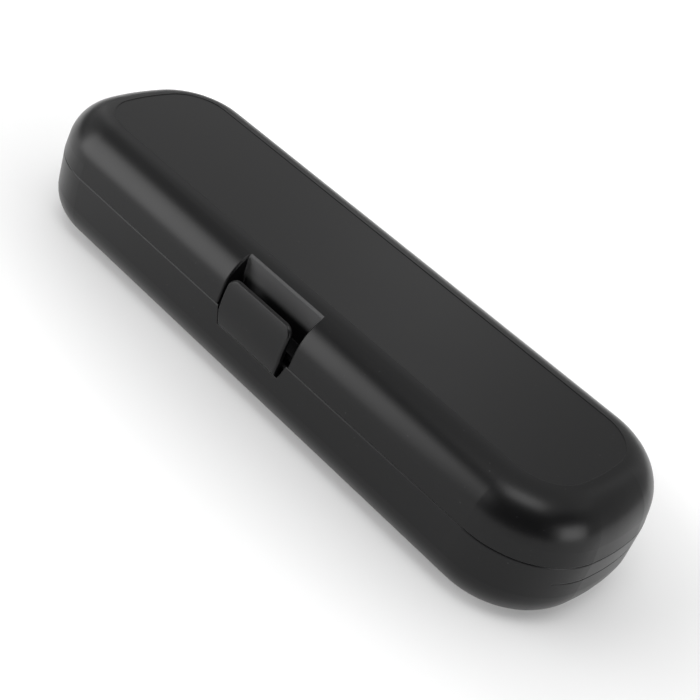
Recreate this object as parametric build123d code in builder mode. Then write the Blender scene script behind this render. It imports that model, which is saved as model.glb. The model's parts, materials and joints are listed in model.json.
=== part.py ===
"""Travel case for an electric toothbrush: two hinged half shells, a latch tongue and a handle tray.

Millimetres. +X runs along the case, +Y to the hinge, +Z up. The origin is the middle of the flat
face that the case rests on. "near" is the +X end and "far" the -X end.
"""

from build123d import *
from math import atan2, cos, degrees, radians, sin, sqrt, tan
import os

# Outer form
LENGTH = 215.6  # over the rounded ends
WIDTH = 66.0  # front wall to back wall, without the hinge
HEIGHT = 39.4  # resting face to the lid's top
SEAM_Z = 23.2  # height of the line between base and lid
TIP_RADIUS = 83.0  # shallow arc across each end, in plan
CORNER_RADIUS = 26.0  # arcs between the ends and the long sides, in plan
LID_DRAFT = 8.0  # degrees that the lid's wall leans inwards
LID_ROUND = 13.2  # radius between the lid's wall and its top
BASE_ROUND = 12.4  # radius between the base's wall and its floor
LID_BEVEL = 7.0  # between the lid's wall and its ceiling, inside
BASE_BEVEL = 6.5  # between the base's wall and its floor, inside
PANEL_INSET = 12.8  # edge of the sunk top panel, in from the seam
PANEL_DEPTH = 0.2
WALL = 2.2
SEAM_GAP = 0.1  # between the two rims when closed
RIM_EDGE_HEIGHT = 0.35  # bevel along the outer edge of the base's rim
RIM_EDGE_DEPTH = 0.2
LID_RIM_EDGE = 0.1
MOULD_LINE_Z = 17.3  # fine groove round the base's ends where the mould's halves met
MOULD_LINE = 0.25
MOULD_LINE_REACH = 4.0  # how far it runs in from each end

# Rim lip of the base, which enters the lid
LIP_THICK = 0.9
LIP_HEIGHT = 1.6
LIP_GAP = 0.2

# Latch tongue, its window in the base and its recess in the lid
TONGUE_WIDTH = 25.7
TONGUE_ROOT_WIDTH = 23.9
TONGUE_ROOT_DROP = 5.4  # seam down to its root
TONGUE_RISE = 11.2  # seam up to its top edge
TONGUE_THICK = 1.8
TONGUE_TOP_THICK = 0.9
TONGUE_STEP = 1.1  # how far its face stands out from the wall above the slope at its root
TONGUE_STEP_HEIGHT = 1.4
TONGUE_BOW = 1.55  # how far its face stands out where it is proudest
TONGUE_BOW_RISE = 1.3  # seam up to that place
TONGUE_TOP_IN = 0.3  # how far its top edge lies inside the wall's face
TONGUE_CORNER = 3.2
TONGUE_EDGE = 0.4
WINDOW_TOP_WIDTH = 29.1
WINDOW_ROOT_WIDTH = 25.9
RECESS_WIDTH = 30.2
RECESS_DEPTH = 8.0
RECESS_CORNER = 0.5
RECESS_EDGE = 0.4
CATCH_WIDTH = 21.0
CATCH_BITE = 0.7  # how far the tongue's bead reaches over the lid's ledge
CATCH_SIDE_GAP = 1.1  # ledge to the tongue's inner face
CATCH_GAP = 0.2  # ledge to the bead above it
LEDGE_THICK = 2.0
BEAD_RISE = 0.9  # slope of the bead's underside, which lets a pull on the lid open it
BEAD_NOSE = 0.5
BEAD_HEIGHT = 3.0

# Hinge
PIN_RADIUS = 1.0
PIN_HEAD_RADIUS = 1.7
PIN_HEAD_THICK = 0.7
PIN_TIGHT = 0.02
PIN_RUNNING = 0.08
KNUCKLE_RADIUS = 2.4
KNUCKLE_WALL_GAP = 0.3
KNUCKLE_END_GAP = 0.3
LID_KNUCKLE_LENGTH = 9.0
BASE_KNUCKLE_LENGTH = 4.5
KNUCKLE_WEB_HEIGHT = 8.0
KNUCKLE_TANGENT = 30.0  # degrees round the barrel to where the web leaves it
HINGE_SPACING = 92.0  # between the middles of the two hinge stations

# Handle tray
TRAY_WALL = 1.2
TRAY_GAP = 0.3
TRAY_DROP = 2.2  # deck's top below the seam
TRAY_LEDGE_LENGTH = 10.0
TRAY_LEDGE_REACH = 1.4
TRAY_LEDGE_HEIGHT = 3.0
TRAY_LEDGES_Y = -30.0  # ledges along the front wall
TRAY_LEDGES_FRONT = (-62.0, -24.0, 24.0, 62.0)
TRAY_LEDGES_ROUND = ((-1, 3.0, -8.0), (1, 3.0, -8.0), (-1, 12.0, 25.0), (1, 20.0, 29.0))
HANDLE_HEADROOM = 2.2  # handle's top to the lid's ceiling
HANDLE_NECK_RADIUS = 8.0
TROUGH_FLOOR_GAP = 0.5  # trough's underside to the base's floor
TROUGH_BACK_GAP = 0.9  # trough to the base's back wall
TROUGH_FAR_MARGIN = 22.0  # trough to the case's far end
TROUGH_NEAR_MARGIN = 11.0
TROUGH_NECK_LENGTH = 13.0
TROUGH_TAPER_LENGTH = 32.0
TROUGH_BEVEL = 4.0  # at the bottom of its ends
WELL_MARGIN = 24.0  # each well to its end of the case
WELL_GAP = 8.0  # between the two wells
WELL_FRONT_GAP = 1.7  # well to the base's front wall
WELL_TROUGH_GAP = 3.8  # between the hollows of well and trough
WELL_BEVEL_GAP = 0.8  # well's bevel to the base's
WELL_BEVEL = 4.0  # round its floor
WELL_FLOOR_CORNER = 2.0  # radius left at the floor's corners, which limits the bevel
ARM_LENGTH = 9.0
ARM_THICK = 1.6
ARM_GAP = 0.15  # snap arm to handle
ARM_RISE = 36.0  # degrees that each snap arm follows the handle above its middle
ARM_ROOT = 20.0  # degrees that it starts below the handle's middle
ARM_XS = (-58.0, 34.0)

# Soft pads and pegs
PAD_THICK = 1.0
GLUE = 0.1  # layer that holds each pad
CRADLE_PAD_LENGTH = 14.0
CRADLE_PAD_ANGLE = 58.0  # degrees to each side of straight down
LID_PAD_LENGTH = 14.0
LID_PAD_WIDTH = 12.0
LID_PAD_DIP = 1.0  # how far its sides reach below the handle's top
LID_PAD_GAP = 0.5
PAD_XS = {"far": -34.0, "near": 14.0}
PEG_RADIUS = 1.6
PEG_LENGTH = 15.0
PEG_FLANGE_RADIUS = 3.2
PEG_FLANGE_THICK = 1.2
PEG_HOLE_GAP = 0.05
PEG_FLOOR_GAP = 1.6  # flange to the bevel of the well's floor
PEG_CORNER_GAP = 1.1  # flange to the well's round corners

# Worked out from the sizes above
HALF_LENGTH = LENGTH / 2
HALF_WIDTH = WIDTH / 2
HINGE_Y = HALF_WIDTH + KNUCKLE_WALL_GAP + KNUCKLE_RADIUS
LID_BOTTOM_Z = SEAM_Z + SEAM_GAP
LID_CEILING_Z = HEIGHT - WALL
TRAY_TOP_Z = SEAM_Z - TRAY_DROP
HANDLE_BOTTOM_Z = WALL + TROUGH_FLOOR_GAP + TRAY_WALL + PAD_THICK + GLUE
HANDLE_RADIUS = (LID_CEILING_Z - HANDLE_HEADROOM - HANDLE_BOTTOM_Z) / 2  # the thickest that has room
HANDLE_Z = HANDLE_BOTTOM_Z + HANDLE_RADIUS
TROUGH_RADIUS = HANDLE_RADIUS + PAD_THICK + GLUE
NECK_TROUGH_RADIUS = HANDLE_NECK_RADIUS + PAD_THICK + GLUE
HANDLE_Y = HALF_WIDTH - WALL - TROUGH_BACK_GAP - TRAY_WALL - TROUGH_RADIUS
WELL_FRONT_Y = -HALF_WIDTH + WALL + WELL_FRONT_GAP + TRAY_WALL
WELL_WIDTH = HANDLE_Y - TROUGH_RADIUS - WELL_TROUGH_GAP - WELL_FRONT_Y
WELL_Y = WELL_FRONT_Y + WELL_WIDTH / 2
WELL_CORNER = WELL_WIDTH / 2 - PEG_FLANGE_RADIUS - PEG_CORNER_GAP
WELL_FLOOR_BEVEL = min(WELL_BEVEL, WELL_CORNER - WELL_FLOOR_CORNER)
WELL_FLOOR_GAP = BASE_BEVEL + WELL_BEVEL_GAP - WELL_FRONT_GAP - WELL_FLOOR_BEVEL
WELL_FLOOR_Z = WALL + WELL_FLOOR_GAP + TRAY_WALL
WELL_DEPTH = TRAY_TOP_Z - WELL_FLOOR_Z
PEG_Z = WELL_FLOOR_Z + WELL_FLOOR_BEVEL + PEG_FLOOR_GAP + PEG_FLANGE_RADIUS
WELL_OUTER_X = HALF_LENGTH - WELL_MARGIN
WELL_LENGTH = WELL_OUTER_X - WELL_GAP / 2
WELL_MIDDLE_X = (WELL_OUTER_X + WELL_GAP / 2) / 2
RECESS_BACK_Y = -HALF_WIDTH + RECESS_DEPTH
LEDGE_TOP_Z = LID_BOTTOM_Z + LEDGE_THICK
TONGUE_INNER_Y = -HALF_WIDTH - TONGUE_BOW + TONGUE_THICK
TONGUE_ROOT_Z = SEAM_Z - TONGUE_ROOT_DROP
TONGUE_BOW_Z = SEAM_Z + TONGUE_BOW_RISE
TONGUE_TOP_Z = SEAM_Z + TONGUE_RISE
LEDGE_FRONT_Y = TONGUE_INNER_Y + CATCH_SIDE_GAP
LIP_INSET = WALL - LIP_THICK
BIG = 3 * LENGTH  # longer than the case, for cutting tools
ENDS = {"far": -1, "near": 1}


def plan_outline(height, inset=0.0):
    """Pill outline in plan: long straight sides, a corner arc at each corner, a shallow arc per end."""
    corner = CORNER_RADIUS - inset
    tip = TIP_RADIUS - inset
    corner_y = HALF_WIDTH - CORNER_RADIUS
    between = sqrt((TIP_RADIUS - CORNER_RADIUS) ** 2 - corner_y**2)
    corner_x = HALF_LENGTH - TIP_RADIUS + between
    meet = degrees(atan2(corner_y, between))
    side_y = HALF_WIDTH - inset
    with BuildSketch(Plane.XY.offset(height)) as plan:
        with BuildLine():
            for end, turn in ((1, 0), (-1, 180)):
                CenterArc((end * (corner_x - between), 0), tip, turn - meet, 2 * meet)
                CenterArc((end * corner_x, end * corner_y), corner, turn + meet, 90 - meet)
                CenterArc((end * corner_x, -end * corner_y), corner, turn - 90, 90 - meet)
                Line((-corner_x, end * side_y), (corner_x, end * side_y))
        make_face()
    return plan.sketch


def lid_form():
    """Closed solid of the lid's outer form."""
    sink = SEAM_GAP * tan(radians(LID_DRAFT))
    with BuildPart() as form:
        extrude(plan_outline(LID_BOTTOM_Z, sink), amount=HEIGHT - LID_BOTTOM_Z, taper=LID_DRAFT)
        fillet(form.edges().group_by(Axis.Z)[-1], LID_ROUND)
        chamfer(form.edges().group_by(Axis.Z)[0], LID_RIM_EDGE)
    return form.part


def lid_hollow():
    """Solid that is cut from the lid's form to leave its wall."""
    sink = SEAM_GAP * tan(radians(LID_DRAFT))
    depth = LID_CEILING_Z - LID_BOTTOM_Z
    with BuildPart() as hollow:
        extrude(plan_outline(LID_BOTTOM_Z, WALL + sink), amount=depth, taper=LID_DRAFT)
        chamfer(hollow.edges().group_by(Axis.Z)[-1], LID_BEVEL)
    return hollow.part


def base_form():
    """Closed solid of the base's outer form."""
    with BuildPart() as form:
        extrude(plan_outline(0), amount=SEAM_Z)
        fillet(form.edges().group_by(Axis.Z)[0], BASE_ROUND)
        rim = form.faces().sort_by(Axis.Z)[-1]
        chamfer(rim.edges(), RIM_EDGE_DEPTH, RIM_EDGE_HEIGHT, reference=rim)
    return form.part


def base_hollow(gap=0.0):
    """Solid that is cut from the base's form to leave its wall, or a smaller one that fits inside."""
    inset = WALL + gap
    with BuildPart() as hollow:
        extrude(plan_outline(inset, inset), amount=SEAM_Z - inset)
        chamfer(hollow.edges().group_by(Axis.Z)[0], BASE_BEVEL)
    return hollow.part


def wall_ring(bottom, height, outer_inset, thickness):
    """Upright band that follows the outline."""
    with BuildPart() as ring:
        extrude(plan_outline(bottom, outer_inset), amount=height)
        extrude(plan_outline(bottom, outer_inset + thickness), amount=height, mode=Mode.SUBTRACT)
    return ring.part


def knuckle(middle_x, length, on_lid):
    """Hinge barrel on a web that runs to the back wall, upwards on the lid, downwards on the base."""
    rise = 1 if on_lid else -1
    lean = tan(radians(LID_DRAFT)) if on_lid else 0.0
    hole_gap = PIN_RUNNING if on_lid else PIN_TIGHT
    start_z = SEAM_Z + (SEAM_GAP if on_lid else 0.0)
    foot_y = HALF_WIDTH - LIP_INSET / 2
    tangent = radians(KNUCKLE_TANGENT)
    side_y = HINGE_Y + KNUCKLE_RADIUS * cos(tangent)
    side_z = SEAM_Z + rise * KNUCKLE_RADIUS * sin(tangent)
    high = (foot_y - lean * KNUCKLE_WEB_HEIGHT, SEAM_Z + rise * KNUCKLE_WEB_HEIGHT)
    with BuildPart() as barrel:
        with BuildSketch(Plane.YZ.offset(middle_x - length / 2)):
            with Locations((HINGE_Y, SEAM_Z)):
                Circle(KNUCKLE_RADIUS)
            with BuildLine():
                Polyline((foot_y, start_z), (HINGE_Y, start_z), (side_y, side_z), high, close=True)
            make_face()
            with Locations((HINGE_Y, SEAM_Z)):
                Circle(PIN_RADIUS + hole_gap, mode=Mode.SUBTRACT)
        extrude(amount=length)
    return barrel.part


def window_face(root_width, top_width, top_z):
    """Front view shared by the tongue and its window: narrower at the root than at the seam."""
    with BuildSketch() as face:
        with BuildLine():
            Polyline(
                (-root_width / 2, TONGUE_ROOT_Z),
                (root_width / 2, TONGUE_ROOT_Z),
                (top_width / 2, SEAM_Z),
                (top_width / 2, top_z),
                (-top_width / 2, top_z),
                (-top_width / 2, SEAM_Z),
                close=True,
            )
        make_face()
    return face.sketch


def mould_line():
    """Fine groove round each end of the base."""
    reach = HALF_LENGTH - MOULD_LINE_REACH
    with BuildPart() as groove:
        add(wall_ring(MOULD_LINE_Z, MOULD_LINE, 0, MOULD_LINE))
        Box(2 * reach, BIG, BIG, mode=Mode.SUBTRACT)
    return groove.part


def tray_ledges():
    """Short ledges inside the base's wall that the tray's deck lies on."""
    thickness = WALL / 2 + TRAY_LEDGE_REACH
    bottom = TRAY_TOP_Z - TRAY_WALL - TRAY_LEDGE_HEIGHT
    front = [(x, TRAY_LEDGES_Y, bottom) for x in TRAY_LEDGES_FRONT]
    ends = [(end * (HALF_LENGTH - margin), y, bottom) for end, margin, y in TRAY_LEDGES_ROUND]
    with BuildPart() as blocks:
        with Locations(*front, *ends):
            Box(
                TRAY_LEDGE_LENGTH,
                TRAY_LEDGE_LENGTH,
                TRAY_LEDGE_HEIGHT,
                align=(Align.CENTER, Align.CENTER, Align.MIN),
            )
        add(wall_ring(bottom, TRAY_LEDGE_HEIGHT, WALL / 2, thickness), mode=Mode.INTERSECT)
    return blocks.part


def make_base():
    """Lower half: shell, rim lip, mould line, tongue window, tray ledges and hinge knuckles."""
    knuckle_step = (LID_KNUCKLE_LENGTH + BASE_KNUCKLE_LENGTH) / 2 + KNUCKLE_END_GAP
    with BuildPart() as base:
        add(base_form())
        add(mould_line(), mode=Mode.SUBTRACT)
        add(base_hollow(), mode=Mode.SUBTRACT)
        add(wall_ring(SEAM_Z - WALL, WALL + LIP_HEIGHT, LIP_INSET, LIP_THICK))
        add(tray_ledges())
        with BuildSketch(Plane.XZ.offset(HALF_WIDTH - 2 * WALL)):
            add(window_face(WINDOW_ROOT_WIDTH, WINDOW_TOP_WIDTH, HEIGHT))
        extrude(amount=4 * WALL, mode=Mode.SUBTRACT)
        for station in ENDS.values():
            for side in (-1, 1):
                x = station * HINGE_SPACING / 2 + side * knuckle_step
                add(knuckle(x, BASE_KNUCKLE_LENGTH, on_lid=False))
    return base


def on_recess_edge(edge):
    """True for the outer edges where the latch recess breaks through the lid's surface."""
    middle = edge.center()
    inside = abs(middle.X) < RECESS_WIDTH / 2 + GLUE and middle.Y < RECESS_BACK_Y + GLUE
    return inside and middle.Z > LID_BOTTOM_Z + LIP_HEIGHT


def recess_pocket():
    """Part of the lid's form that becomes the walls round the latch recess."""
    with BuildPart() as pocket:
        add(lid_form())
        with Locations((0, RECESS_BACK_Y + WALL, 0)):
            Box(
                RECESS_WIDTH + 2 * WALL,
                BIG,
                BIG,
                align=(Align.CENTER, Align.MAX, Align.CENTER),
                mode=Mode.INTERSECT,
            )
    return pocket.part


def make_lid():
    """Upper half: shell, sunk top panel, latch recess with its catch ledge, and hinge knuckles."""
    flat_front_y = -HALF_WIDTH + WALL + LIP_GAP
    rear_y = RECESS_BACK_Y + WALL / 2
    with BuildPart() as lid:
        add(lid_form())
        add(lid_hollow(), mode=Mode.SUBTRACT)
        extrude(plan_outline(HEIGHT - PANEL_DEPTH, PANEL_INSET), amount=WALL, mode=Mode.SUBTRACT)
        add(recess_pocket())
        with BuildSketch() as recess:
            with Locations((0, RECESS_BACK_Y)):
                Rectangle(RECESS_WIDTH, BIG, align=(Align.CENTER, Align.MAX))
            fillet(recess.vertices().group_by(Axis.Y)[-1], RECESS_CORNER)
        extrude(amount=BIG, mode=Mode.SUBTRACT)
        recess_edges = lid.edges().filter_by(Axis.Z, reverse=True).filter_by(on_recess_edge)
        chamfer(recess_edges, RECESS_EDGE)
        add(wall_ring(LID_BOTTOM_Z, LIP_HEIGHT, LIP_INSET - LIP_GAP, WALL), mode=Mode.SUBTRACT)
        for width, front_y in ((RECESS_WIDTH + WALL, flat_front_y), (CATCH_WIDTH, LEDGE_FRONT_Y)):
            with Locations((0, rear_y, LID_BOTTOM_Z)):
                Box(
                    width,
                    rear_y - front_y,
                    LEDGE_THICK,
                    align=(Align.CENTER, Align.MAX, Align.MIN),
                )
        for station in ENDS.values():
            add(knuckle(station * HINGE_SPACING / 2, LID_KNUCKLE_LENGTH, on_lid=True))
    return lid


def make_tongue():
    """Latch tongue: bowed plate with rounded top corners and a bead that bites over the lid's ledge."""
    root = (-HALF_WIDTH, TONGUE_ROOT_Z)
    step = (-HALF_WIDTH - TONGUE_STEP, TONGUE_ROOT_Z + TONGUE_STEP_HEIGHT)
    proud = (-HALF_WIDTH - TONGUE_BOW, TONGUE_BOW_Z)
    top = (-HALF_WIDTH + TONGUE_TOP_IN, TONGUE_TOP_Z)
    back = [(y + TONGUE_THICK, z) for y, z in (root, step, proud)]
    back_top = (top[0] + TONGUE_TOP_THICK, top[1])
    bead_root_y = TONGUE_INNER_Y - TONGUE_THICK / 2
    bead_nose_y = LEDGE_FRONT_Y + CATCH_BITE
    slope = BEAD_RISE / (bead_nose_y - bead_root_y)
    bead_z = LEDGE_TOP_Z + CATCH_GAP - slope * (LEDGE_FRONT_Y - bead_root_y)
    with BuildPart() as tongue:
        with BuildSketch(Plane.YZ.offset(-TONGUE_WIDTH)):
            with BuildLine():
                Polyline(step, root, back[0], back[1])
                ThreePointArc(step, proud, top)
                ThreePointArc(back[1], back[2], back_top)
                Line(top, back_top)
            make_face()
        extrude(amount=2 * TONGUE_WIDTH)
        with BuildSketch(Plane.XZ.offset(HALF_WIDTH - 3 * TONGUE_THICK)) as front:
            add(window_face(TONGUE_ROOT_WIDTH, TONGUE_WIDTH, TONGUE_TOP_Z))
            fillet(front.vertices().group_by(Axis.Y)[-1], TONGUE_CORNER)
        extrude(amount=6 * TONGUE_THICK, mode=Mode.INTERSECT)
        face_edges = tongue.faces().sort_by(Axis.Y)[0].edges().sort_by(Axis.Z)[1:]
        chamfer(face_edges, TONGUE_EDGE)
        with BuildSketch(Plane.YZ.offset(-CATCH_WIDTH / 2)):
            with BuildLine():
                Polyline(
                    (bead_root_y, bead_z),
                    (bead_nose_y, bead_z + BEAD_RISE),
                    (bead_nose_y, bead_z + BEAD_RISE + BEAD_NOSE),
                    (bead_root_y, bead_z + BEAD_HEIGHT),
                    close=True,
                )
            make_face()
        extrude(amount=CATCH_WIDTH)
    return tongue


def make_pin(station):
    """Steel hinge pin with a small flat head."""
    length = LID_KNUCKLE_LENGTH + 2 * (BASE_KNUCKLE_LENGTH + KNUCKLE_END_GAP)
    start = station * HINGE_SPACING / 2 - length / 2
    with BuildPart() as pin:
        with BuildSketch(Plane.YZ.offset(start)):
            with Locations((HINGE_Y, SEAM_Z)):
                Circle(PIN_RADIUS)
        extrude(amount=length)
        with BuildSketch(Plane.YZ.offset(start)):
            with Locations((HINGE_Y, SEAM_Z)):
                Circle(PIN_HEAD_RADIUS)
        extrude(amount=-PIN_HEAD_THICK)
    return pin


def trough_form(grow=0.0):
    """Round body of the handle with its tapering neck, grown by a wall."""
    far = TROUGH_FAR_MARGIN - HALF_LENGTH - grow
    near = HALF_LENGTH - TROUGH_NEAR_MARGIN + grow
    neck = near - grow - TROUGH_NECK_LENGTH
    wide = HANDLE_Z + TROUGH_RADIUS + grow
    narrow = HANDLE_Z + NECK_TROUGH_RADIUS + grow
    with BuildPart() as form:
        with BuildSketch(Plane.XZ.offset(-HANDLE_Y)):
            with BuildLine():
                Polyline(
                    (far, HANDLE_Z),
                    (far, wide - TROUGH_BEVEL),
                    (far + TROUGH_BEVEL, wide),
                    (neck - TROUGH_TAPER_LENGTH, wide),
                    (neck, narrow),
                    (near - TROUGH_BEVEL, narrow),
                    (near, narrow - TROUGH_BEVEL),
                    (near, HANDLE_Z),
                    close=True,
                )
            make_face()
        revolve(axis=Axis((0, HANDLE_Y, HANDLE_Z), (1, 0, 0)))
    return form.part


def well_form(grow=0.0):
    """Round-cornered brush head well with a bevelled floor, grown by a wall."""
    with BuildPart() as well:
        with BuildSketch(Plane.XY.offset(TRAY_TOP_Z)):
            RectangleRounded(WELL_LENGTH + 2 * grow, WELL_WIDTH + 2 * grow, WELL_CORNER + grow)
        extrude(amount=-WELL_DEPTH - grow)
        chamfer(well.edges().group_by(Axis.Z)[0], WELL_FLOOR_BEVEL)
    return well.part


def handle_band(middle_x, length, inner, outer, start, sweep):
    """Strip of a ring round the handle's axis, between two angles."""
    centre = (HANDLE_Y, HANDLE_Z)
    with BuildPart() as band:
        with BuildSketch(Plane.YZ.offset(middle_x - length / 2)):
            with BuildLine():
                inside = CenterArc(centre, inner, start, sweep)
                outside = CenterArc(centre, outer, start, sweep)
                Line(inside @ 0, outside @ 0)
                Line(inside @ 1, outside @ 1)
            make_face()
        extrude(amount=length)
    return band.part


def make_tray():
    """Insert in the base: flat deck, handle trough with snap arms, and two brush head wells."""
    wells = [(station * WELL_MIDDLE_X, WELL_Y, 0) for station in ENDS.values()]
    arm_inner = HANDLE_RADIUS + ARM_GAP
    arm_sweep = ARM_ROOT + ARM_RISE
    with BuildPart() as tray:
        add(base_hollow(TRAY_GAP))
        with Locations((0, 0, TRAY_TOP_Z - TRAY_WALL)):
            Box(BIG, BIG, BIG, align=(Align.CENTER, Align.CENTER, Align.MAX), mode=Mode.SUBTRACT)
        add(trough_form(TRAY_WALL))
        with Locations(*wells):
            add(well_form(TRAY_WALL))
        add(trough_form(), mode=Mode.SUBTRACT)
        with Locations(*wells):
            add(well_form(), mode=Mode.SUBTRACT)
        with Locations((0, 0, TRAY_TOP_Z)):
            Box(BIG, BIG, BIG, align=(Align.CENTER, Align.CENTER, Align.MIN), mode=Mode.SUBTRACT)
        for station in ENDS.values():
            with Locations((station * WELL_OUTER_X, WELL_Y, PEG_Z)):
                Cylinder(
                    PEG_RADIUS + PEG_HOLE_GAP,
                    3 * TRAY_WALL,
                    rotation=(0, 90, 0),
                    mode=Mode.SUBTRACT,
                )
        for x in ARM_XS:
            for start in (-ARM_ROOT, 180 - ARM_RISE):
                add(handle_band(x, ARM_LENGTH, arm_inner, arm_inner + ARM_THICK, start, arm_sweep))
    return tray


def make_cradle_pad(middle_x):
    """Soft strip in the trough that the handle lies on."""
    with BuildPart() as pad:
        outer = TROUGH_RADIUS - GLUE
        start = 270 - CRADLE_PAD_ANGLE
        add(handle_band(middle_x, CRADLE_PAD_LENGTH, HANDLE_RADIUS, outer, start, 2 * CRADLE_PAD_ANGLE))
    return pad


def make_lid_pad(middle_x):
    """Soft saddle under the lid that keeps the handle down."""
    low = HANDLE_Z + HANDLE_RADIUS - LID_PAD_DIP
    with BuildPart() as pad:
        with Locations((middle_x, HANDLE_Y, low)):
            Box(
                LID_PAD_LENGTH,
                LID_PAD_WIDTH,
                LID_CEILING_Z - low,
                align=(Align.CENTER, Align.CENTER, Align.MIN),
            )
        with Locations((middle_x, HANDLE_Y, HANDLE_Z)):
            Cylinder(
                HANDLE_RADIUS + LID_PAD_GAP,
                2 * LID_PAD_LENGTH,
                rotation=(0, 90, 0),
                mode=Mode.SUBTRACT,
            )
    return pad


def make_peg(station):
    """Peg that a brush head is pushed on, with a flange against the well's end wall."""
    wall_x = station * WELL_OUTER_X
    with BuildPart() as peg:
        for radius, length, outwards in (
            (PEG_RADIUS, TRAY_WALL, 1),
            (PEG_FLANGE_RADIUS, PEG_FLANGE_THICK, -1),
            (PEG_RADIUS, PEG_FLANGE_THICK + PEG_LENGTH, -1),
        ):
            with BuildSketch(Plane.YZ.offset(wall_x)):
                with Locations((WELL_Y, PEG_Z)):
                    Circle(radius)
            extrude(amount=outwards * station * length)
    return peg


os.makedirs("parts", exist_ok=True)

pieces = {
    "base_shell": make_base(),
    "lid_shell": make_lid(),
    "latch_tongue": make_tongue(),
    "handle_tray": make_tray(),
}
for end, station in ENDS.items():
    pieces[f"hinge_pin_{end}"] = make_pin(station)
    pieces[f"head_peg_{end}"] = make_peg(station)
    pieces[f"cradle_pad_{end}"] = make_cradle_pad(PAD_XS[end])
    pieces[f"lid_pad_{end}"] = make_lid_pad(PAD_XS[end])

for name, piece in pieces.items():
    piece.part.label = name
    export_step(piece.part, f"parts/{name}.step")
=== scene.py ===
# %% [markdown]
# # A travel case for an electric toothbrush
# The case is a long black box with round ends, moulded in two halves. A springy tongue at the front holds
# the lid shut. Inside lie a tray, soft pads and two pegs for brush heads. The solids are exact already:
# they come from the CAD model, which is loaded as a fixed frame and never moved. What this lesson adds is
# the finish of each surface, and the light and the camera that show it.

# %% Load the frame
import json
import math

import bpy
from mathutils import Matrix, Vector


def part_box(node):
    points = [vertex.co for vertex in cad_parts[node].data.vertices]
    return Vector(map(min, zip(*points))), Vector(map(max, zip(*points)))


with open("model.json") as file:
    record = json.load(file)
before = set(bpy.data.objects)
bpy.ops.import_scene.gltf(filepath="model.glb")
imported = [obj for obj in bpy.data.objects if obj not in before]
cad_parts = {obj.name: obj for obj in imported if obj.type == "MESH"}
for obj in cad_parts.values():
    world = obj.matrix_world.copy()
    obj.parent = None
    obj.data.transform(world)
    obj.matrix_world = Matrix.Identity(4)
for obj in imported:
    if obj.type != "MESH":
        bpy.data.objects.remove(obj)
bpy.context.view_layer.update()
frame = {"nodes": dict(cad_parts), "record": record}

print("nodes", sorted(frame["nodes"]))

# %% [markdown]
# ## Shader sums written as sums
# A material in Blender is a graph of nodes, and each sum in it is a Math node. Wiring those by hand hides
# the idea behind them. So a small class wraps a node's output, and ordinary arithmetic on it adds the Math
# nodes. Python turns to the reflected forms, such as __rsub__, when a plain number stands first, and that
# is what makes 1 - mask work.


# %% A socket that can be added and multiplied
class Wire:
    """An output socket. Arithmetic on it adds Math nodes to its graph."""

    def __init__(self, graph, socket):
        self.graph = graph
        self.socket = socket

    def maths(self, operation, *values):
        return self.graph.add("ShaderNodeMath", {"operation": operation}, dict(enumerate(values)))

    def __add__(self, other):
        return self.maths("ADD", self, other)

    def __radd__(self, other):
        return self.maths("ADD", other, self)

    def __sub__(self, other):
        return self.maths("SUBTRACT", self, other)

    def __rsub__(self, other):
        return self.maths("SUBTRACT", other, self)

    def __mul__(self, other):
        return self.maths("MULTIPLY", self, other)

    def __rmul__(self, other):
        return self.maths("MULTIPLY", other, self)

    def __abs__(self):
        return self.maths("ABSOLUTE", self)


print("sums on sockets: + - * and abs")

# %% [markdown]
# ## One method for every other node
# Noise, mixes and bumps could each get their own few lines of wiring, but those lines would all be alike.
# One method does it instead. It takes a node's type, then its settings, then the values or links of its
# sockets. Settings go first, because some of them, such as a Mix node's data type, decide which sockets
# the node shows.


# %% A graph: the one place where nodes are added
class Graph:
    """The node tree of a material, a lamp or the world."""

    def __init__(self, tree):
        self.tree = tree

    def feed(self, entry, value):
        """Links a Wire to a node's input, or sets a plain value on it."""
        if isinstance(value, Wire):
            self.tree.links.new(value.socket, entry)
        else:
            entry.default_value = value

    def add(self, kind, options=None, sockets=None, pick=0):
        """Adds any node: its options first, then its sockets' values or links. Returns one output."""
        node = self.tree.nodes.new(kind)
        for option, value in (options or {}).items():
            setattr(node, option, value)
        for name, value in (sockets or {}).items():
            self.feed(node.inputs[name], value)
        return Wire(self, node.outputs[pick])

    def axis(self, vector, letter):
        """One number, X, Y or Z, of a vector."""
        return self.add("ShaderNodeSeparateXYZ", None, {"Vector": vector}, pick=letter)

    def step(self, value, low, high):
        """0 below low, 1 above high, smooth in between."""
        options = {"interpolation_type": "SMOOTHSTEP"}
        return self.add("ShaderNodeMapRange", options, {"Value": value, "From Min": low, "From Max": high})


print("graphs can feed, add, axis and step")

# %% [markdown]
# ## A finish under construction
# A finish is one material and the moves that plastics need: noise, a blend of two colours, and bumps. Its
# noise is placed by the object's own coordinates, in metres, so sizes are real ones and the pattern stays
# on the lid when the lid turns. An edge in the CAD model is perfectly sharp and catches no light, while a
# moulded edge is a little round. More faces could round it, but a Bevel node is enough: it bends the
# normals beside the edge, and the mesh stays as the CAD model has it.

# %% A finish: one material and the nodes it needs
BEVEL_RAYS = 6


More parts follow.
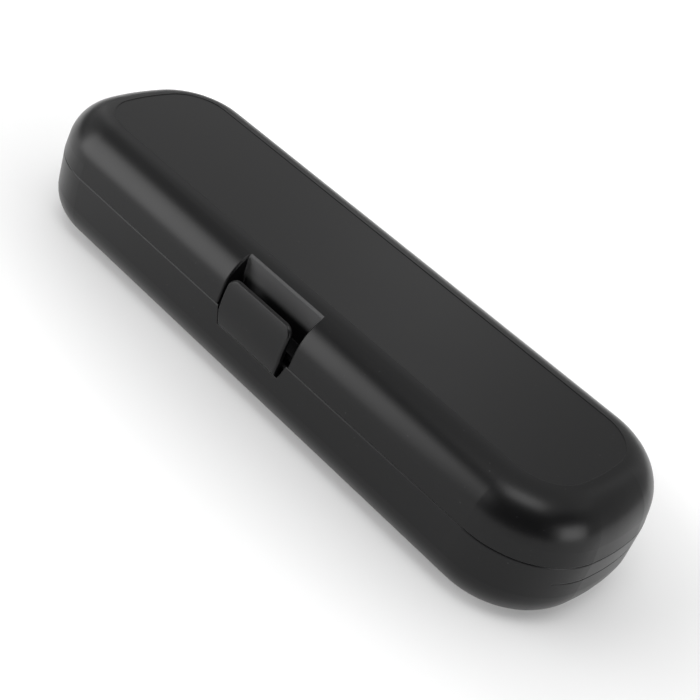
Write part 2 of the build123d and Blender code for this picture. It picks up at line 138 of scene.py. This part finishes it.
class Finish(Graph):
    """A material under construction, with its Principled shader ready."""

    def __init__(self, name):
        self.material = bpy.data.materials.new(name)
        self.material.use_nodes = True
        super().__init__(self.material.node_tree)
        self.shader = self.tree.nodes["Principled BSDF"]
        self.place = self.add("ShaderNodeTexCoord", pick="Object")

    def set(self, name, value):
        self.feed(self.shader.inputs[name], value)

    def noise(self, size, detail=2.0, roughness=0.5, stretch=(1, 1, 1)):
        """Noise whose blobs are about size metres across, from 0 to 1."""
        place = self.place
        if stretch != (1, 1, 1):
            place = self.add("ShaderNodeMapping", None, {"Vector": place, "Scale": stretch})
        values = {"Vector": place, "Scale": 1 / size, "Detail": detail, "Roughness": roughness}
        return self.add("ShaderNodeTexNoise", None, values)

    def blend(self, factor, first, second):
        """Mixes two colours. The Mix node keeps its colour sockets at places 6 and 7."""
        return self.add("ShaderNodeMix", {"data_type": "RGBA"}, {0: factor, 6: first, 7: second}, pick=2)

    def bump(self, height, depth, strength=1.0, edge=0.0):
        """Turns a height from 0 to 1 into bumps of depth metres, on edges that look edge metres round."""
        values = {"Height": height, "Distance": depth, "Strength": strength}
        if edge:
            values["Normal"] = self.add("ShaderNodeBevel", {"samples": BEVEL_RAYS}, {"Radius": edge})
        self.set("Normal", self.add("ShaderNodeBump", None, values))

    def done(self):
        """Says what was made, and gives the material."""
        print(self.material.name, "made of", len(self.tree.nodes), "nodes")
        return self.material


def grey(level, blue=0.0):
    """A grey, a little bluer where blue is above 0."""
    return (level, level, level + blue, 1)


print("black plastic as a colour", grey(0.0035, 0.0003))

# %% [markdown]
# ## Where the shell is matt, with painted light and painted shadow
# Behind the latch tongue the lid has a finger recess. Its upright back wall is duller than the rest.
# It is also painted paler, a painted light that stands in for the light the wall catches, down to a dark
# foot behind the tongue that is a painted shadow of the tongue. A second material on those faces would
# need the CAD mesh to be split, so a mask finds the wall by its place instead: across the recess, within
# a hair of the wall's depth, and above a height that is taken from the tongue's top.

# %% Mask of the recess wall: matt, painted light and painted shadow
RECESS_HALF_WIDTH = 0.0152
RECESS_WALL_Y = -0.025
WALL_REACH = 0.0006
TONGUE_TOP_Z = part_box("latch_tongue")[1][2]
# Below the first height the wall is left dark, a painted shadow of the tongue; above the second it is matt
# and painted pale.
PAINTED_SHADOW_TOP_Z = TONGUE_TOP_Z - 0.0042
MATT_AND_PAINTED_LIGHT_Z = TONGUE_TOP_Z - 0.0016


def matt_and_painted_light_mask(finish):
    """1 on the wall behind the tongue: matt, painted light. 0 on its foot, a painted shadow, and elsewhere.
    """
    from_side = RECESS_HALF_WIDTH - abs(finish.axis(finish.place, "X"))
    from_wall = WALL_REACH - abs(finish.axis(finish.place, "Y") - RECESS_WALL_Y)
    across = finish.step(from_side, low=0, high=0.0001)
    deep = finish.step(from_wall, low=0, high=0.0002)
    # Painted shadow: the wall's foot behind the tongue keeps the dark black.
    high = finish.step(finish.axis(finish.place, "Z"), low=PAINTED_SHADOW_TOP_Z, high=MATT_AND_PAINTED_LIGHT_Z)
    return across * deep * high


print("recess wall is matt from", round(PAINTED_SHADOW_TOP_Z, 4), "to", round(MATT_AND_PAINTED_LIGHT_Z, 4), "m upwards")

# %% [markdown]
# ## Satin black plastic
# Both halves and the tongue are one kind of moulding: nearly black, with a fine even grain that makes
# reflections soft. On the real case the grain comes from the mould's etched steel. An image of grain would
# do, but it repeats and has to be laid out on the shape. Three sizes of noise do better here: the grain
# itself as a bump, slow smudges that change the gloss, and sparse pale specks of dust.

# %% Shell finish
BLACK = grey(0.0035, 0.0003)
# A paler black for the recess wall: painted light, standing in for the light the wall catches.
PAINTED_LIGHT_BLACK = grey(0.065, 0.001)
DUST = grey(0.05)
EDGE_ROUND = 0.00045


def shell_finish():
    finish = Finish("shell_plastic")
    grain = finish.noise(size=0.00022)
    smudge = finish.noise(size=0.02, detail=4.0, roughness=0.6)
    specks = finish.step(finish.noise(size=0.0009, detail=1.0), low=0.74, high=0.80)
    dust = specks * finish.step(smudge, low=0.45, high=0.65)
    # The recess mask makes the wall matt and paints it pale as painted light, with a painted shadow at its
    # foot.
    matt_and_painted_light = matt_and_painted_light_mask(finish)
    plastic = finish.blend(matt_and_painted_light, BLACK, PAINTED_LIGHT_BLACK)
    finish.set("Base Color", finish.blend(dust * 0.5, plastic, DUST))
    finish.set("Roughness", 0.27 + smudge * 0.06 + dust * 0.2 + matt_and_painted_light * 0.35)
    finish.set("Specular IOR Level", 0.25)
    finish.bump(grain, depth=0.00002, strength=0.25, edge=EDGE_ROUND)
    return finish.done()


shell_plastic = shell_finish()

# %% [markdown]
# ## The tray
# The tray is a thinner moulding that nobody polishes, with a coarser and duller grain than the shell. The
# shell's finish could be used again, but then tray and shell would run together in the open case. So it
# gets its own: a paler black, a higher roughness, and a bump of twice the size.


# %% Tray finish
def tray_finish():
    finish = Finish("tray_plastic")
    grain = finish.noise(size=0.0004, detail=3.0)
    smudge = finish.noise(size=0.03, detail=3.0)
    finish.set("Base Color", finish.blend(smudge, grey(0.011, 0.001), grey(0.017, 0.001)))
    finish.set("Roughness", 0.5 + smudge * 0.12)
    finish.bump(grain, depth=0.00004, strength=0.5)
    return finish.done()


tray_plastic = tray_finish()

# %% [markdown]
# ## Rubber pads
# Four soft pads keep the handle from rattling. Foamed rubber has small cells, so one noise with much fine
# detail drives its colour, its roughness and its bump together: what lies low is painted darker, a painted
# shade in the cells.


# %% Rubber finish
def rubber_finish():
    finish = Finish("pad_rubber")
    cells = finish.noise(size=0.0006, detail=4.0, roughness=0.7)
    # Low cells get the darker grey: painted shade in the cells.
    finish.set("Base Color", finish.blend(cells, grey(0.02, 0.001), grey(0.035, 0.001)))
    finish.set("Roughness", 0.8 + cells * 0.1)
    finish.bump(cells, depth=0.00008, strength=0.6)
    return finish.done()


pad_rubber = rubber_finish()

# %% [markdown]
# ## Pegs
# The pegs that the brush heads are pushed on are small mouldings of a slightly lighter plastic, a bit
# glossier than the tray because brush heads rub them smooth.


# %% Peg finish
def peg_finish():
    finish = Finish("peg_plastic")
    grain = finish.noise(size=0.0003)
    finish.set("Base Color", finish.blend(grain, grey(0.03, 0.002), grey(0.045, 0.002)))
    finish.set("Roughness", 0.38 + grain * 0.1)
    finish.bump(grain, depth=0.00002, strength=0.3)
    return finish.done()


peg_plastic = peg_finish()

# %% [markdown]
# ## Hinge pins
# The pins are cut from drawn steel wire. Drawing leaves fine lines along the wire, which lies along X in
# this frame. An anisotropic shader could fake them; stretching the noise along X is simpler, and it draws
# the lines themselves in colour, roughness and bump.

# %% Steel finish
ALONG_THE_WIRE = (0.04, 1, 1)


def steel_finish():
    finish = Finish("pin_steel")
    lines = finish.noise(size=0.0001, detail=3.0, stretch=ALONG_THE_WIRE)
    finish.set("Metallic", 1.0)
    finish.set("Base Color", finish.blend(lines, grey(0.42, 0.01), grey(0.66)))
    finish.set("Roughness", 0.22 + lines * 0.2)
    finish.bump(lines, depth=0.000004, strength=0.5)
    return finish.done()


pin_steel = steel_finish()

# %% [markdown]
# ## Dressing the pieces
# The record that came with the frame says which material slot each piece belongs to. Reading it is safer
# than a list of names typed here, because a piece that the CAD model gains is dressed as well.

# %% Put each finish on its pieces
finishes = {
    "shell_plastic": shell_plastic,
    "tray_plastic": tray_plastic,
    "pad_rubber": pad_rubber,
    "peg_plastic": peg_plastic,
    "pin_steel": pin_steel,
}
for part in frame["record"]["subparts"]:
    piece = frame["nodes"][part["node"]]
    finish = finishes[part["material_slot"]]
    for entry in piece.material_slots:
        entry.material = finish
    print(part["node"], "wears", finish.name)

# %% [markdown]
# ## Floor
# The case stands on white paper. In the photo the paper is burnt out to white, yet the plastic low on the
# case mirrors a dimmer paper close by. Both come out if the paper glows a little, and less so near the
# case: lamps alone would have to be so bright that they wash out the black. The glow follows the distance
# from the middle, with X counted less because the case is long that way.


# %% Floor paper
def floor_paper():
    """White paper that glows a little, more so away from the case."""
    finish = Finish("floor_paper")
    squeezed = finish.add("ShaderNodeMapping", None, {"Vector": finish.place, "Scale": (0.45, 1, 0)})
    away = finish.add("ShaderNodeVectorMath", {"operation": "LENGTH"}, {0: squeezed}, pick="Value")
    near_glow = finish.blend(finish.step(away, low=0.04, high=0.12), grey(0.2), grey(0.52))
    glow = finish.blend(finish.step(away, low=1.0, high=2.5), near_glow, grey(0.85))
    finish.set("Emission Color", glow)
    finish.set("Emission Strength", 1.0)
    finish.set("Base Color", grey(0.66))
    finish.set("Roughness", 0.9)
    finish.set("Specular IOR Level", 0.0)
    return finish.done()


# %% Floor
REACH = 6.0
corners = [(-REACH, -REACH, 0), (REACH, -REACH, 0), (REACH, REACH, 0), (-REACH, REACH, 0)]
floor_mesh = bpy.data.meshes.new("floor")
floor_mesh.from_pydata(corners, [], [(0, 1, 2, 3)])
floor_mesh.materials.append(floor_paper())
floor = bpy.data.objects.new("floor", floor_mesh)
bpy.context.collection.objects.link(floor)
print("floor at 0, reaching", REACH, "m")

# %% [markdown]
# ## Soft lights
# A black glossy case is mostly a picture of the room round it, so the room matters more than the plastic's
# own colour. Lamps could be placed by trial, but the photo's reflections, read backwards, give their
# directions. So each lamp here is set by its direction as seen from the case and by how bright it looks,
# and its watts are worked out from that. Cloth over a lamp makes it fade towards its edges, and a small
# graph in each lamp does the same, or the highlights would have hard rims.

# %% A softbox
CASE_MIDDLE = Vector((0, 0, 0.02))


def softbox(name, azimuth, elevation, distance, size, radiance, fade=0.16):
    """Area light seen from the case at azimuth and elevation degrees, radiance times as bright as white."""
    turn = math.radians(azimuth)
    rise = math.radians(elevation)
    way = Vector((math.cos(turn) * math.cos(rise), math.sin(turn) * math.cos(rise), math.sin(rise)))
    lamp = bpy.data.lights.new(name, "AREA")
    lamp.shape = "RECTANGLE"
    lamp.size, lamp.size_y = size
    lamp.energy = radiance * math.pi * size[0] * size[1]
    soften(lamp, fade)
    holder = bpy.data.objects.new(name, lamp)
    holder.location = CASE_MIDDLE + distance * way
    holder.rotation_euler = way.to_track_quat("Z", "Y").to_euler()
    bpy.context.collection.objects.link(holder)
    print(name, "at", [round(v, 2) for v in holder.location], "W", round(lamp.energy, 1))


def soften(lamp, fade):
    """Lets the light fade out towards the box's edges, as cloth over a lamp does."""
    lamp.use_nodes = True
    graph = Graph(lamp.node_tree)
    place = graph.add("ShaderNodeNewGeometry", pick="Parametric")
    across = graph.axis(place, "X")
    along = graph.axis(place, "Y")
    cloth = graph.step(across * (1 - across), 0, fade) * graph.step(along * (1 - along), 0, fade)
    graph.feed(lamp.node_tree.nodes["Emission"].inputs["Strength"], cloth)


# %% [markdown]
# ## Lamps that draw the highlights
# A window-like box at the front left draws the long band along the lid's edge. A smaller one at the right
# and a long one above make the two soft spots on the near corner.

# %% The three bright boxes
NEAR = 1.6
softbox("window_left", -132, 20, NEAR, size=(1.75, 1.7), radiance=4.6, fade=0.22)
softbox("window_right", 2, 14, NEAR, size=(0.9, 0.8), radiance=4.9)
softbox("top_box", -62, 69, NEAR, size=(1.3, 0.66), radiance=4.3)

# %% [markdown]
# ## Pale walls
# The flat top panel and the far edge mirror a pale ceiling and walls. One bright world colour could stand
# in for them, but it would also light the dark side where the camera stands, which the front wall of the
# case mirrors. Large dim boxes leave that side dark.

# %% The ceiling and the walls
FAR = 2.2
softbox("ceiling", 90, 80, FAR, size=(4.2, 3.4), radiance=0.85)
softbox("wall_back_left", 140, 30, FAR, size=(2.1, 1.9), radiance=0.6)
softbox("wall_back_middle", 98, 26, FAR, size=(2.2, 2.3), radiance=0.48)
softbox("wall_back_right", 52, 26, FAR, size=(2.6, 2.3), radiance=0.55)
softbox("wall_left", 178, 30, 2.0, size=(1.9, 1.7), radiance=0.6)

# %% [markdown]
# ## Backdrop
# Seen from low down, the floor ends at a horizon, and what lies above it should be as pale as the paper. A
# pale world would show in every reflection too. The Light Path node tells the two apart: only rays that
# come straight from the camera see the pale backdrop, and all others see a dim room.

# %% World
ROOM_GLOW = 0.04
BACKDROP_GLOW = 0.9
world = bpy.data.worlds.new("studio")
world.use_nodes = True
room = Graph(world.node_tree)
seen = room.add("ShaderNodeLightPath", pick="Is Camera Ray")
backdrop = world.node_tree.nodes["Background"].inputs
room.feed(backdrop["Color"], grey(1))
room.feed(backdrop["Strength"], ROOM_GLOW + BACKDROP_GLOW * seen)
bpy.context.scene.world = world
print("world glows", ROOM_GLOW, "in reflections and", ROOM_GLOW + BACKDROP_GLOW, "behind the case")

# %% [markdown]
# ## Camera
# The camera looks down at about 35 degrees from the front right, through a longish lens, as product
# photographs are taken. A look-at rule would be shorter, but a photo is rarely aimed at an object's exact
# middle. So its place, and the directions that are right and up in the picture, were solved from the
# case's outline in the photo.

# %% Camera
LENS_MM = 67.61
SENSOR_MM = 36
CAMERA_PLACE = Vector((0.1839, -0.2622, 0.2332))
camera_data = bpy.data.cameras.new("camera")
camera_data.lens = LENS_MM
camera_data.sensor_width = SENSOR_MM
camera_data.clip_start = 0.01
camera = bpy.data.objects.new("camera", camera_data)
right = Vector((0.671, 0.684, 0.288)).normalized()
up = Vector((-0.587, 0.252, 0.770)).normalized()
back = right.cross(up).normalized()
up = back.cross(right)
turn = Matrix((right, up, back)).transposed()
camera.matrix_world = Matrix.Translation(CAMERA_PLACE) @ turn.to_4x4()
bpy.context.collection.objects.link(camera)
scene = bpy.context.scene
scene.camera = camera
scene.view_settings.view_transform = "Standard"
print("camera", [round(v, 4) for v in camera.location], "lens", LENS_MM, "mm")
